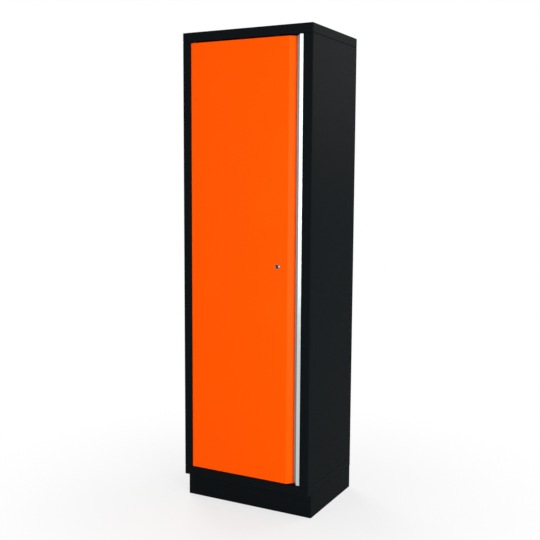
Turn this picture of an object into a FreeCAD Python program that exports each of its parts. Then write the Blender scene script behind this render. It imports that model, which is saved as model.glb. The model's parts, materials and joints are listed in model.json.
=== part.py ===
"""Tall workshop storage cabinet.

A black carcass of folded sheet steel stands on a recessed plinth. One flush orange door hangs on
concealed pivots at its left edge. A full-height aluminium pull closes its right edge, and a key
lock behind it drives two rods, one up into the cap and one down into the base. Adjustable shelves
hang inside on clips in slotted uprights.

Millimetres, +Z up. The door faces -Y. The origin is on the floor, under the cabinet's middle.
"""

import FreeCAD
import Part

import math
import os

from FreeCAD import Rotation, Vector

# Overall cabinet
WIDTH = 600.0
DEPTH = 450.0
HEIGHT = 2000.0
PLINTH_HEIGHT = 100.0
PLINTH_RECESS = 32.0
PLINTH_INSET = 0.8
FRAME_FACE = 38.0

# Sheet steel and its bends
CARCASS_SHEET = 1.2
PLINTH_SHEET = 1.5
BACK_SHEET = 0.8
SHELF_SHEET = 1.0
DOOR_SHEET = 1.2
CORNER_BEND = 4.0
CAP_BEND = 3.0
SEAM_BEND = 2.5
SHELF_BEND = 2.0
DOOR_BEND = 2.2

# Flanges folded inward along the panels' edges
CAP_FLANGE = 25.0
CAP_FRONT_MARGIN = 6.5
SIDE_FLANGE = 20.0
PLINTH_FLANGE = 25.0
STOP_GAP = 2.0
STOP_FLANGE = 12.0
HINGE_SWEEP_GAP = 6.5
HINGE_RETURN = 15.0

# Back panel and its holes for fixing the cabinet to a wall
BACK_EDGE_GAP = 0.6
WALL_HOLE_DIAMETER = 9.0
WALL_HOLE_SPACING = 400.0
WALL_HOLE_BELOW_CAP = 80.0

# Slotted uprights
UPRIGHT_DEPTH = 15.0
UPRIGHT_WIDTH = 30.0
UPRIGHT_BEND = 1.8
UPRIGHT_END_GAP = 0.5
UPRIGHT_FRONT_SETBACK = 62.0
UPRIGHT_BACK_SETBACK = 42.0
SLOT_PITCH = 25.0
SLOT_MARGIN = 62.0

# Shelves and their clips
SHELF_COUNT = 4
SHELF_EDGE = 25.0
SHELF_RETURN = 14.0
SHELF_SIDE_PLAY = 0.5
SHELF_FRONT_SETBACK = 46.0
SHELF_BACK_GAP = 10.0
CLIP_THICKNESS = 2.5
CLIP_WIDTH = 11.0
CLIP_SIDE_PLAY = 0.5
CLIP_TOP_PLAY = 0.7
CLIP_LEDGE = 17.0
CLIP_LEG = 12.0
CLIP_LEG_THICKNESS = 1.9
CLIP_HOOK = 4.0
CLIP_HOOK_PLAY = 0.4

# Door
DOOR_THICKNESS = 24.0
DOOR_GAP_SIDE = 3.0
DOOR_GAP_TOP = 6.0
DOOR_GAP_BOTTOM = 3.0
DOOR_LIP = 14.0
GRIP_WIDTH = 61.0
CHAMFER_RUN = 28.0
STIFFENER_X = -40.0
STIFFENER_WIDTH = 46.0
STIFFENER_DEPTH = 17.0
STIFFENER_FOOT = 14.0
STIFFENER_END_GAP = 45.0

# Aluminium pull
HANDLE_WALL = 2.0
HANDLE_LIP = 16.0
HANDLE_RISE = 2.5
HANDLE_SEAT_GAP = 0.6
HANDLE_ROUND = 0.8
HANDLE_CORNER = 1.6
HANDLE_SCREW_COUNT = 7
HANDLE_SCREW_END = 90.0
HANDLE_SCREW_FROM_EDGE = 21.0
HANDLE_SCREW_SKIN = 0.5

# Concealed pivots
HINGE_INSET = 14.0
HINGE_DEPTH = 9.0
HINGE_PIN_DIAMETER = 8.0
HINGE_PIN_HEAD_MARGIN = 0.25
HINGE_PIN_HEAD_HEIGHT = 3.0
HINGE_PIN_REACH = 14.0
HINGE_PLAY = 0.05
BUSH_DIAMETER = 10.4
BUSH_FLANGE_DIAMETER = 13.2
BUSH_FLANGE = 1.5
BUSH_TAIL = 2.5
HINGE_BRACKET_WIDTH = 60.0
HINGE_BRACKET_SHEET = 3.0
HINGE_BRACKET_PLAY = 0.3

# Key lock
LOCK_FROM_EDGE = 108.0
LOCK_HEIGHT = 1044.0
LOCK_BEZEL_DIAMETER = 20.0
LOCK_BEZEL_HEIGHT = 2.6
LOCK_BEZEL_ROUND = 1.4
LOCK_BARREL_DIAMETER = 16.0
LOCK_BARREL_LENGTH = 11.0
LOCK_PLUG_DIAMETER = 11.6
LOCK_PLUG_RECESS = 0.6
LOCK_PLAY = 0.06
KEYWAY_WIDTH = 1.6
KEYWAY_HEIGHT = 7.6
KEYWAY_DEPTH = 8.0
LOCK_NUT_ACROSS = 21.0
LOCK_NUT_HEIGHT = 4.5
LOCK_SQUARE = 7.0

# Locking rods and the cam that drives them
ROD_DIAMETER = 8.0
ROD_TIP_ROUND = 1.6
ROD_SETBACK = 0.5
CRANK_RADIUS = 16.0
LOCK_TURN = 90.0
CAM_THICKNESS = 2.5
CAM_HUB = 12.0
CAM_ARM = 9.0
CAM_STUD = 5.0
CAM_STUD_OVERHANG = 1.5
ROD_FOOT_THICKNESS = 3.0
ROD_FOOT_GAP = 0.5
ROD_FOOT_WALL = 3.0
ROD_SLOT_PLAY = 0.35
ROD_HOLE_PLAY = 1.0
GUIDE_WIDTH = 26.0
GUIDE_SHEET = 1.5
GUIDE_BASE = 22.0
GUIDE_OVERHANG = 2.5
GUIDE_PLAY = 0.1
GUIDE_FROM_LOCK = 70.0
GUIDE_FROM_END = 60.0
KEEPER_PLAY = 2.0
KEEPER_WALL = 2.0
KEEPER_RIM = 2.5
KEEPER_FLANGE = 1.5
KEEPER_LENGTH = 6.0
KEEPER_SEAT_PLAY = 0.05

# Door stops on the lock-side stile
BUFFER_DIAMETER = 8.0
BUFFER_COUNT = 4
BUFFER_END = 60.0
MAGNET_LENGTH = 50.0
MAGNET_WIDTH = 9.0
MAGNET_SPREAD = 300.0
STOP_CLEARANCE = 0.3

# Socket-head screws: shank diameter, head diameter, head height and socket size
SCREW_M4 = (4.0, 7.6, 2.2, 2.5)
SCREW_M6 = (6.0, 10.5, 3.3, 4.0)
SCREW_PLAY = 0.1
SCREW_DOME = 0.6
SCREW_SOCKET_DEPTH = 0.6
CAM_SCREW_LENGTH = 5.0
PANEL_SCREW_REACH = 6.0
BACK_SCREW_COUNT = 6
BACK_SCREW_END = 90.0
FLANGE_SCREW_INSET = 11.0
JOIN_SCREW_FROM_UPRIGHT = 33.0

# Places worked out from the sizes above
FRONT = -DEPTH / 2
BACK = DEPTH / 2
SIDE = WIDTH / 2
BASE_TOP = PLINTH_HEIGHT + FRAME_FACE
CAP_BOTTOM = HEIGHT - FRAME_FACE
JAMB = SIDE - FRAME_FACE
INNER_SIDE = SIDE - CARCASS_SHEET
DOOR_LEFT = -JAMB + DOOR_GAP_SIDE
DOOR_RIGHT = JAMB - DOOR_GAP_SIDE
DOOR_BOTTOM = BASE_TOP + DOOR_GAP_BOTTOM
DOOR_TOP = CAP_BOTTOM - DOOR_GAP_TOP
DOOR_REAR = FRONT + DOOR_THICKNESS
DOOR_INNER = FRONT + DOOR_SHEET
GRIP_LEFT = DOOR_RIGHT - GRIP_WIDTH
HINGE_X = DOOR_LEFT + HINGE_INSET
HINGE_Y = FRONT + HINGE_DEPTH
LOCK_X = DOOR_RIGHT - LOCK_FROM_EDGE
CAM_FRONT = FRONT + LOCK_BARREL_LENGTH
CAM_REAR = CAM_FRONT + CAM_THICKNESS
ROD_FOOT_FRONT = CAM_REAR + ROD_FOOT_GAP
ROD_Y = ROD_FOOT_FRONT + ROD_FOOT_THICKNESS / 2
HALF_TURN = math.radians(LOCK_TURN / 2)
CRANK_LIFT = CRANK_RADIUS * math.sin(HALF_TURN)
CRANK_NEAR = CRANK_RADIUS * math.cos(HALF_TURN)
ROD_OFFSET = (CRANK_RADIUS + CRANK_NEAR) / 2
KEEPER_BORE = ROD_DIAMETER + 2 * KEEPER_PLAY
KEEPER_OUTSIDE = KEEPER_BORE + 2 * KEEPER_WALL
LOCK_REVEAL = DOOR_THICKNESS + STOP_GAP
STOP_FACE = FRONT + LOCK_REVEAL
HINGE_SWEEP = math.hypot(HINGE_INSET, DOOR_THICKNESS - HINGE_DEPTH)
HINGE_REVEAL = HINGE_DEPTH + HINGE_SWEEP + HINGE_SWEEP_GAP
HINGE_PIN_HEAD = 2 * (HINGE_DEPTH - SEAM_BEND - HINGE_PIN_HEAD_MARGIN)
CAP_FRONT_FLANGE = ROD_Y - FRONT + KEEPER_OUTSIDE / 2 + KEEPER_RIM + CAP_FRONT_MARGIN
SLOT_WIDTH = CLIP_WIDTH + 2 * CLIP_SIDE_PLAY
SLOT_HEIGHT = CLIP_THICKNESS + CLIP_TOP_PLAY
SHELF_SIDE_GAP = CLIP_LEG_THICKNESS + SHELF_SIDE_PLAY
TINY = 1e-4
BEYOND = 1.0

X_AXIS = Vector(1, 0, 0)
Y_AXIS = Vector(0, 1, 0)
Z_AXIS = Vector(0, 0, 1)


# Building blocks

def block(x, y, z):
    """Box between a low and a high limit on each axis."""
    return Part.makeBox(x[1] - x[0], y[1] - y[0], z[1] - z[0], Vector(x[0], y[0], z[0]))


def cylinder(diameter, start, axis, length):
    """Round bar of that diameter from a start point along an axis."""
    return Part.makeCylinder(diameter / 2, length, start, axis)


def middle(edge):
    """Point half way along an edge."""
    return edge.valueAt((edge.FirstParameter + edge.LastParameter) / 2)


def is_upright(edge):
    """True for a straight edge that runs along Z."""
    return isinstance(edge.Curve, Part.Line) and abs(abs(edge.Curve.Direction.z) - 1) < TINY


def rounded(shape, radius, wanted):
    """The shape with a fillet on each edge that passes the test."""
    edges = [edge for edge in shape.Edges if wanted(edge)]
    if radius <= TINY or not edges:
        return shape
    return shape.makeFillet(radius, edges)


def rounded_box(x, y, z, corners, top, bottom):
    """Box with rounded upright edges (front left, front right, back right, back left) and rims.

    A rim is rounded no more than the corners that it runs round.
    """
    places = ((x[0], y[0]), (x[1], y[0]), (x[1], y[1]), (x[0], y[1]))
    shape = block(x, y, z)
    for radius, (cx, cy) in zip(corners, places):
        shape = rounded(
            shape,
            radius,
            lambda edge: is_upright(edge)
            and abs(middle(edge).x - cx) < TINY
            and abs(middle(edge).y - cy) < TINY,
        )
    limit = min([radius for radius in corners if radius > TINY], default=0)
    shape = rounded(shape, min(top, limit), lambda edge: abs(middle(edge).z - z[1]) < TINY)
    return rounded(shape, min(bottom, limit), lambda edge: abs(middle(edge).z - z[0]) < TINY)


def folded_box(x, y, z, sheet, corners, top, bottom):
    """Closed box of folded sheet, its inner bends concentric with its outer ones."""
    outer = rounded_box(x, y, z, corners, top, bottom)
    inner = rounded_box(
        (x[0] + sheet, x[1] - sheet),
        (y[0] + sheet, y[1] - sheet),
        (z[0] + sheet, z[1] - sheet),
        [max(radius - sheet, 0) for radius in corners],
        max(top - sheet, 0),
        max(bottom - sheet, 0),
    )
    return outer.cut(inner)


def prism(outline, z):
    """Upright prism over a closed outline of (x, y) points, between two heights."""
    points = [Vector(px, py, z[0]) for px, py in outline]
    face = Part.Face(Part.makePolygon(points + points[:1]))
    return face.extrude(Vector(0, 0, z[1] - z[0]))


def hexagon(across, start, axis, length):
    """Six-sided bar of that size across its flats."""
    radius = across / math.sqrt(3)
    points = [
        Vector(radius * math.cos(math.radians(60 * i)), radius * math.sin(math.radians(60 * i)), 0)
        for i in range(6)
    ]
    bar = Part.Face(Part.makePolygon(points + points[:1])).extrude(Vector(0, 0, length))
    return turned_to(bar, start, axis)


def turned_to(shape, start, axis):
    """A shape made on +Z, turned to an axis and moved to a start point."""
    shape.Placement = FreeCAD.Placement(start, Rotation(Z_AXIS, axis))
    return shape


def screw(kind, reach, seat, outward):
    """Socket-head screw: its head stands outward from the seat, and its shank reaches inward."""
    shank_diameter, head_diameter, head_height, socket = kind
    head = cylinder(head_diameter, Vector(0, 0, 0), Z_AXIS, head_height)
    dome = head_height * SCREW_DOME
    head = rounded(head, dome, lambda edge: abs(middle(edge).z - head_height) < TINY)
    floor = head_height * (1 - SCREW_SOCKET_DEPTH)
    head = head.cut(hexagon(socket, Vector(0, 0, floor), Z_AXIS, head_height))
    shank = cylinder(shank_diameter, Vector(0, 0, -reach), Z_AXIS, reach)
    return turned_to(head.fuse(shank).removeSplitter(), seat, outward)


def screw_hole(kind, seat, outward, depth):
    """What a screw's clearance hole takes out of the sheets under its seat."""
    return cylinder(kind[0] + 2 * SCREW_PLAY, seat + outward * BEYOND, outward * -1, depth + BEYOND)


def spread(count, low, high):
    """Evenly spaced places, the first at the low end and the last at the high end."""
    if count == 1:
        return [(low + high) / 2]
    return [low + (high - low) * i / (count - 1) for i in range(count)]


def joined(first, *others):
    """One solid fused from pieces that meet."""
    return first.fuse(list(others)).removeSplitter()


# Where the fasteners sit

def join_screw_seats(height):
    """Seats of the four screws that hold a side panel's flange to the cap or the base."""
    x = SIDE - FLANGE_SCREW_INSET
    front = upright_limits(-1)[1] + JOIN_SCREW_FROM_UPRIGHT
    back = upright_limits(1)[0] - JOIN_SCREW_FROM_UPRIGHT
    return [Vector(sign * x, place, height) for sign in (-1, 1) for place in (front, back)]


def back_screw_seats():
    """Seats of the screws that hold the back panel to the side panels' rear flanges."""
    x = SIDE - FLANGE_SCREW_INSET
    heights = spread(BACK_SCREW_COUNT, BASE_TOP + BACK_SCREW_END, CAP_BOTTOM - BACK_SCREW_END)
    return [Vector(sign * x, BACK, height) for sign in (-1, 1) for height in heights]


def handle_screw_seats():
    """Seats of the screws that hold the aluminium pull, on the door's rear face."""
    heights = spread(HANDLE_SCREW_COUNT, DOOR_BOTTOM + HANDLE_SCREW_END, DOOR_TOP - HANDLE_SCREW_END)
    return [Vector(DOOR_RIGHT - HANDLE_SCREW_FROM_EDGE, DOOR_REAR, height) for height in heights]


def rod_place(end):
    """X of the rod for the upper (+1) or the lower (-1) end."""
    return LOCK_X - end * ROD_OFFSET


def rod_opening(end, size, z):
    """Square bar round a rod's line, between two heights."""
    x = rod_place(end)
    return block((x - size / 2, x + size / 2), (ROD_Y - size / 2, ROD_Y + size / 2), z)


# Carcass

def plinth():
    """Folded ring under the base, set back at the front, open inside its two flanges."""
    x = (-SIDE + PLINTH_INSET, SIDE - PLINTH_INSET)
    y = (FRONT + PLINTH_RECESS, BACK - PLINTH_INSET)
    z = (0, PLINTH_HEIGHT)
    ring = folded_box(x, y, z, PLINTH_SHEET, [CORNER_BEND] * 4, SEAM_BEND, PLINTH_SHEET)
    well = block(
        (x[0] + PLINTH_FLANGE, x[1] - PLINTH_FLANGE),
        (y[0] + PLINTH_FLANGE, y[1] - PLINTH_FLANGE),
        (z[0] - BEYOND, z[1] + BEYOND),
    )
    holes = [
        screw_hole(SCREW_M6, seat, Z_AXIS * -1, PLINTH_SHEET)
        for seat in join_screw_seats(PLINTH_HEIGHT - PLINTH_SHEET)
    ]
    return ring.cut([well] + holes)


def bottom_tray():
    """Cabinet floor with folded skirts, screwed to the plinth and to the side panels."""
    z = (PLINTH_HEIGHT, BASE_TOP)
    tray = folded_box(
        (-SIDE, SIDE), (FRONT, BACK), z, CARCASS_SHEET, [CORNER_BEND] * 4, SEAM_BEND, SEAM_BEND
    )
    well = block(
        (-SIDE + CAP_FLANGE, SIDE - CAP_FLANGE),
        (FRONT + PLINTH_RECESS + PLINTH_FLANGE, BACK - CAP_FLANGE),
        (z[0] - BEYOND, z[0] + CARCASS_SHEET + TINY),
    )
    lower_holes = [
        screw_hole(SCREW_M6, seat, Z_AXIS * -1, CARCASS_SHEET)
        for seat in join_screw_seats(PLINTH_HEIGHT)
    ]
    upper_holes = [
        screw_hole(SCREW_M6, seat, Z_AXIS, CARCASS_SHEET) for seat in join_screw_seats(BASE_TOP)
    ]
    rod_hole = rod_opening(-1, KEEPER_OUTSIDE, (BASE_TOP - CARCASS_SHEET - BEYOND, BASE_TOP + BEYOND))
    pin_hole = cylinder(
        HINGE_PIN_DIAMETER,
        Vector(HINGE_X, HINGE_Y, BASE_TOP - CARCASS_SHEET - BEYOND),
        Z_AXIS,
        CARCASS_SHEET + 2 * BEYOND,
    )
    return tray.cut([well, rod_hole, pin_hole] + lower_holes + upper_holes)


def top_cap():
    """Inverted tray that closes the top, with a deep front flange for the pivot and the rod."""
    z = (CAP_BOTTOM, HEIGHT)
    cap = folded_box(
        (-SIDE, SIDE), (FRONT, BACK), z, CARCASS_SHEET, [CORNER_BEND] * 4, CAP_BEND, SEAM_BEND
    )
    well = block(
        (-SIDE + CAP_FLANGE, SIDE - CAP_FLANGE),
        (FRONT + CAP_FRONT_FLANGE, BACK - CAP_FLANGE),
        (z[0] - BEYOND, z[0] + CARCASS_SHEET + TINY),
    )
    holes = [
        screw_hole(SCREW_M6, seat, Z_AXIS * -1, CARCASS_SHEET) for seat in join_screw_seats(CAP_BOTTOM)
    ]
    rod_hole = rod_opening(1, KEEPER_OUTSIDE, (CAP_BOTTOM - BEYOND, CAP_BOTTOM + CARCASS_SHEET + BEYOND))
    pin_hole = cylinder(
        HINGE_PIN_DIAMETER,
        Vector(HINGE_X, HINGE_Y, CAP_BOTTOM - BEYOND),
        Z_AXIS,
        CARCASS_SHEET + 2 * BEYOND,
    )
    return cap.cut([well, rod_hole, pin_hole] + holes)


def side_panel(reveal, inner_flange):
    """Right-hand side wall: stile face, reveal beside the door, and flanges all round."""
    x = (JAMB, SIDE)
    y = (FRONT, BACK)
    z = (BASE_TOP, CAP_BOTTOM)
    corners = (SEAM_BEND, CORNER_BEND, CORNER_BEND, 0)
    shell = folded_box(x, y, z, CARCASS_SHEET, corners, SEAM_BEND, SEAM_BEND)
    room = block(
        (JAMB - BEYOND, SIDE - SIDE_FLANGE),
        (FRONT + reveal, BACK + BEYOND),
        (BASE_TOP - BEYOND, CAP_BOTTOM + BEYOND),
    )
    flange = block(inner_flange, (FRONT + reveal, FRONT + reveal + CARCASS_SHEET), z)
    wall = joined(shell.cut(room), flange)
    heights = (BASE_TOP + CARCASS_SHEET, CAP_BOTTOM - CARCASS_SHEET)
    ways = (Z_AXIS, Z_AXIS * -1)
    holes = [
        screw_hole(SCREW_M6, seat, way, CARCASS_SHEET)
        for height, way in zip(heights, ways)
        for seat in join_screw_seats(height)
    ]
    holes += [screw_hole(SCREW_M4, seat, Y_AXIS, CARCASS_SHEET) for seat in back_screw_seats()]
    return wall.cut(holes)


def side_panel_right():
    """Lock side, whose reveal ends in a flange that the door closes against."""
    return side_panel(LOCK_REVEAL, (JAMB - STOP_FLANGE, JAMB + CARCASS_SHEET))


def side_panel_left():
    """Hinge side, whose deeper reveal clears the door's turning edge."""
    return side_panel(HINGE_REVEAL, (JAMB, JAMB + HINGE_RETURN)).mirror(Vector(0, 0, 0), X_AXIS)


def back_panel():
    """Flat sheet inside the rear flanges, with two holes for fixing the cabinet to a wall.

    Its corners are notched round the side panels' flanges, and between them it reaches from the base
    to the cap.
    """
    wide = SIDE - CORNER_BEND - BACK_EDGE_GAP
    narrow = SIDE - SIDE_FLANGE - BACK_EDGE_GAP
    rear = BACK - CARCASS_SHEET
    thickness = (rear - BACK_SHEET, rear)
    notched = (BASE_TOP + SEAM_BEND + BACK_EDGE_GAP, CAP_BOTTOM - SEAM_BEND - BACK_EDGE_GAP)
    sheet = joined(
        block((-wide, wide), thickness, notched),
        block((-narrow, narrow), thickness, (BASE_TOP, CAP_BOTTOM)),
    )
    holes = [
        cylinder(
            WALL_HOLE_DIAMETER,
            Vector(sign * WALL_HOLE_SPACING / 2, rear + BEYOND, CAP_BOTTOM - WALL_HOLE_BELOW_CAP),
            Y_AXIS * -1,
            BACK_SHEET + 2 * BEYOND,
        )
        for sign in (-1, 1)
    ]
    holes += [
        screw_hole(SCREW_M4, seat, Y_AXIS, CARCASS_SHEET + BACK_SHEET + BEYOND)
        for seat in back_screw_seats()
    ]
    return sheet.cut(holes)


# Fasteners of the carcass

def plinth_screws():
    """Screws up through the plinth's top flange into the base."""
    seats = join_screw_seats(PLINTH_HEIGHT - PLINTH_SHEET)
    reach = PLINTH_SHEET + CARCASS_SHEET + PANEL_SCREW_REACH
    return Part.makeCompound([screw(SCREW_M6, reach, seat, Z_AXIS * -1) for seat in seats])


def base_screws():
    """Screws down through the side panels' bottom flanges into the base."""
    seats = join_screw_seats(BASE_TOP + CARCASS_SHEET)
    reach = 2 * CARCASS_SHEET + PANEL_SCREW_REACH
    return Part.makeCompound([screw(SCREW_M6, reach, seat, Z_AXIS) for seat in seats])


def cap_screws():
    """Screws up through the side panels' top flanges into the cap."""
    seats = join_screw_seats(CAP_BOTTOM - CARCASS_SHEET)
    reach = 2 * CARCASS_SHEET + PANEL_SCREW_REACH
    return Part.makeCompound([screw(SCREW_M6, reach, seat, Z_AXIS * -1) for seat in seats])


def back_screws():
    """Screws through the rear flanges into the back panel."""
    reach = CARCASS_SHEET + BACK_SHEET + PANEL_SCREW_REACH
    return Part.makeCompound([screw(SCREW_M4, reach, seat, Y_AXIS) for seat in back_screw_seats()])


# Uprights, shelves and clips

def upright_limits(row):
    """Front and back limits of the front (-1) or back (+1) uprights."""
    if row < 0:
        return FRONT + UPRIGHT_FRONT_SETBACK, FRONT + UPRIGHT_FRONT_SETBACK + UPRIGHT_WIDTH
    return BACK - UPRIGHT_BACK_SETBACK - UPRIGHT_WIDTH, BACK - UPRIGHT_BACK_SETBACK


def slot_heights():
    """Heights of the slots' centres."""
    first = BASE_TOP + SLOT_MARGIN
    count = int((CAP_BOTTOM - SLOT_MARGIN - first) // SLOT_PITCH) + 1
    return [first + SLOT_PITCH * i for i in range(count)]


def shelf_slots():
    """The slot that each shelf's clips hang in, spaced as evenly as the slots allow."""
    heights = slot_heights()
    room = CAP_BOTTOM - BASE_TOP
    wanted = [BASE_TOP + room * (i + 1) / (SHELF_COUNT + 1) - SHELF_EDGE for i in range(SHELF_COUNT)]
    return [min(heights, key=lambda height: abs(height - place)) for place in wanted]


def upright(column, row):
    """Slotted channel on a side wall, for the left (-1) or right (+1) column."""
    y = upright_limits(row)
    z = (BASE_TOP + SEAM_BEND + UPRIGHT_END_GAP, CAP_BOTTOM - SEAM_BEND - UPRIGHT_END_GAP)
    web = INNER_SIDE - UPRIGHT_DEPTH
    inner_bend = max(UPRIGHT_BEND - CARCASS_SHEET, 0)
    outer = rounded_box((web, INNER_SIDE), y, z, (UPRIGHT_BEND, 0, 0, UPRIGHT_BEND), 0, 0)
    hollow = rounded_box(
        (web + CARCASS_SHEET, INNER_SIDE + BEYOND),
        (y[0] + CARCASS_SHEET, y[1] - CARCASS_SHEET),
        (z[0] - BEYOND, z[1] + BEYOND),
        (inner_bend, 0, 0, inner_bend),
        0,
        0,
    )
    centre = (y[0] + y[1]) / 2
    slots = [
        block(
            (web - BEYOND, web + CARCASS_SHEET + BEYOND),
            (centre - SLOT_WIDTH / 2, centre + SLOT_WIDTH / 2),
            (height - SLOT_HEIGHT / 2, height + SLOT_HEIGHT / 2),
        )
        for height in slot_heights()
    ]
    channel = outer.cut([hollow, Part.makeCompound(slots)])
    return channel if column > 0 else channel.mirror(Vector(0, 0, 0), X_AXIS)


def clip(column, row, height):
    """Bent clip: a strip through the slot, a hook behind the web and a leg against its face."""
    y = upright_limits(row)
    centre = (y[0] + y[1]) / 2
    across = (centre - CLIP_WIDTH / 2, centre + CLIP_WIDTH / 2)
    web = INNER_SIDE - UPRIGHT_DEPTH
    low = height - SLOT_HEIGHT / 2
    top = low + CLIP_THICKNESS
    hook_face = web + CARCASS_SHEET + CLIP_HOOK_PLAY
    strip = block((web - CLIP_LEDGE, hook_face + CLIP_LEG_THICKNESS), across, (low, top))
    leg = block((web - CLIP_LEG_THICKNESS, web), across, (low - CLIP_LEG, low))
    hook = block((hook_face, hook_face + CLIP_LEG_THICKNESS), across, (top, top + CLIP_HOOK))
    bent = joined(strip, leg, hook)
    return bent if column > 0 else bent.mirror(Vector(0, 0, 0), X_AXIS)


def shelf_clips():
    """Four clips under each shelf."""
    return Part.makeCompound(
        [
            clip(column, row, height)
            for height in shelf_slots()
            for column in (-1, 1)
            for row in (-1, 1)
        ]
    )


def shelf(number):
    """Shelf tray with folded edges and returns, resting on its clips."""
    half = INNER_SIDE - UPRIGHT_DEPTH - SHELF_SIDE_GAP
    x = (-half, half)
    y = (FRONT + SHELF_FRONT_SETBACK, BACK - CARCASS_SHEET - BACK_SHEET - SHELF_BACK_GAP)
    seat = shelf_slots()[number - 1] - SLOT_HEIGHT / 2 + CLIP_THICKNESS
    z = (seat, seat + SHELF_EDGE)
    tray = folded_box(x, y, z, SHELF_SHEET, [SHELF_BEND] * 4, SHELF_BEND, SHELF_BEND)
    well = block(
        (x[0] + SHELF_RETURN, x[1] - SHELF_RETURN),
        (y[0] + SHELF_RETURN, y[1] - SHELF_RETURN),
        (z[0] - BEYOND, z[0] + SHELF_SHEET + TINY),
    )
    return tray.cut(well)


# Door

def chamfer_x(y, inward=0.0):
    """X of the grip's slanted face at a depth, or of a face set that far inside it."""
    slope = CHAMFER_RUN / DOOR_THICKNESS
    length = math.hypot(CHAMFER_RUN, DOOR_THICKNESS)
    return GRIP_LEFT + (y - FRONT) * slope - inward * length / DOOR_THICKNESS


def door_body(inset):
    """Solid door blank, or what is left of it inside a skin of that thickness."""
    left, front, rear = DOOR_LEFT + inset, FRONT + inset, DOOR_REAR - inset
    z = (DOOR_BOTTOM + inset, DOOR_TOP - inset)
    outline = [
        (left, front),
        (chamfer_x(front, inset), front),
        (chamfer_x(rear, inset), rear),
        (left, rear),
    ]
    blank = prism(outline, z)
    radius = DOOR_BEND - inset
    blank = rounded(
        blank,
        radius,
        lambda edge: is_upright(edge) and abs(middle(edge).y - front) < TINY,
    )
    return rounded(
        blank,
        radius,
        lambda edge: abs(middle(edge).y - front) < TINY and not is_upright(edge),
    )


def door_skin():
    """Folded door pan with a slanted grip edge and a rear flange that carries the pull."""
    pan = door_body(0).cut(door_body(DOOR_SHEET))
    opening = block(
        (DOOR_LEFT + DOOR_LIP, chamfer_x(DOOR_REAR - DOOR_SHEET, DOOR_SHEET)),
        (DOOR_REAR - DOOR_SHEET - TINY, DOOR_REAR + BEYOND),
        (DOOR_BOTTOM + DOOR_LIP, DOOR_TOP - DOOR_LIP),
    )
    flange_face = DOOR_REAR - DOOR_SHEET
    flange = block(
        (chamfer_x(flange_face, DOOR_SHEET / 2), DOOR_RIGHT),
        (flange_face, DOOR_REAR),
        (DOOR_BOTTOM, DOOR_TOP),
    )
    lock_hole = cylinder(
        LOCK_BARREL_DIAMETER, Vector(LOCK_X, FRONT - BEYOND, LOCK_HEIGHT), Y_AXIS, DOOR_SHEET + 2 * BEYOND
    )
    holes = [lock_hole]
    for end, edge in ((1, DOOR_TOP), (-1, DOOR_BOTTOM)):
        start = edge - DOOR_SHEET - BEYOND if end > 0 else edge - BEYOND
        length = DOOR_SHEET + 2 * BEYOND
        rod_hole = ROD_DIAMETER + 2 * ROD_HOLE_PLAY
        holes.append(cylinder(rod_hole, Vector(rod_place(end), ROD_Y, start), Z_AXIS, length))
        holes.append(cylinder(BUSH_DIAMETER, Vector(HINGE_X, HINGE_Y, start), Z_AXIS, length))
    holes += [screw_hole(SCREW_M4, seat, Y_AXIS, DOOR_SHEET) for seat in handle_screw_seats()]
    return joined(pan.cut(opening), flange).cut(holes)


def door_stiffener():
    """Hat section welded up the inside of the door."""
    z = (DOOR_BOTTOM + STIFFENER_END_GAP, DOOR_TOP - STIFFENER_END_GAP)
    half = STIFFENER_WIDTH / 2
    x = (STIFFENER_X - half, STIFFENER_X + half)
    y = (DOOR_INNER, DOOR_INNER + STIFFENER_DEPTH)
    outer = rounded_box(x, y, z, (0, 0, DOOR_BEND, DOOR_BEND), 0, 0)
    hollow = rounded_box(
        (x[0] + DOOR_SHEET, x[1] - DOOR_SHEET),
        (y[0] - BEYOND, y[1] - DOOR_SHEET),
        (z[0] - BEYOND, z[1] + BEYOND),
        (0, 0, DOOR_BEND - DOOR_SHEET, DOOR_BEND - DOOR_SHEET),
        0,
        0,
    )
    feet = [
        block((x[0] - STIFFENER_FOOT, x[0] + DOOR_SHEET), (y[0], y[0] + DOOR_SHEET), z),
        block((x[1] - DOOR_SHEET, x[1] + STIFFENER_FOOT), (y[0], y[0] + DOOR_SHEET), z),
    ]
    return joined(outer.cut(hollow), *feet)


def handle_profile():
    """Extruded pull: a web on the door's rear flange, a side wall and a lip to pull on."""
    z = (DOOR_BOTTOM + HANDLE_RISE, DOOR_TOP + HANDLE_RISE)
    rear = DOOR_REAR - DOOR_SHEET
    web_front = rear - HANDLE_WALL
    web_left = chamfer_x(rear) + HANDLE_SEAT_GAP
    web = block((web_left, DOOR_RIGHT), (web_front, rear), z)
    wall = block((DOOR_RIGHT - HANDLE_WALL, DOOR_RIGHT), (FRONT, rear), z)
    lip = block((DOOR_RIGHT - HANDLE_LIP, DOOR_RIGHT), (FRONT, FRONT + HANDLE_WALL), z)
    profile = joined(web, wall, lip)
    tip = DOOR_RIGHT - HANDLE_LIP
    profile = rounded(
        profile,
        HANDLE_ROUND,
        lambda edge: is_upright(edge) and abs(middle(edge).x - tip) < TINY,
    )
    inner = DOOR_RIGHT - HANDLE_WALL
    profile = rounded(
        profile,
        HANDLE_ROUND,
        lambda edge: is_upright(edge) and abs(middle(edge).x - inner) < TINY,
    )
    profile = rounded(
        profile,
        HANDLE_CORNER,
        lambda edge: is_upright(edge)
        and abs(middle(edge).x - DOOR_RIGHT) < TINY
        and abs(middle(edge).y - FRONT) < TINY,
    )
    depth = DOOR_SHEET + HANDLE_WALL - HANDLE_SCREW_SKIN
    holes = [screw_hole(SCREW_M4, seat, Y_AXIS, depth) for seat in handle_screw_seats()]
    return profile.cut(holes)


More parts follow.
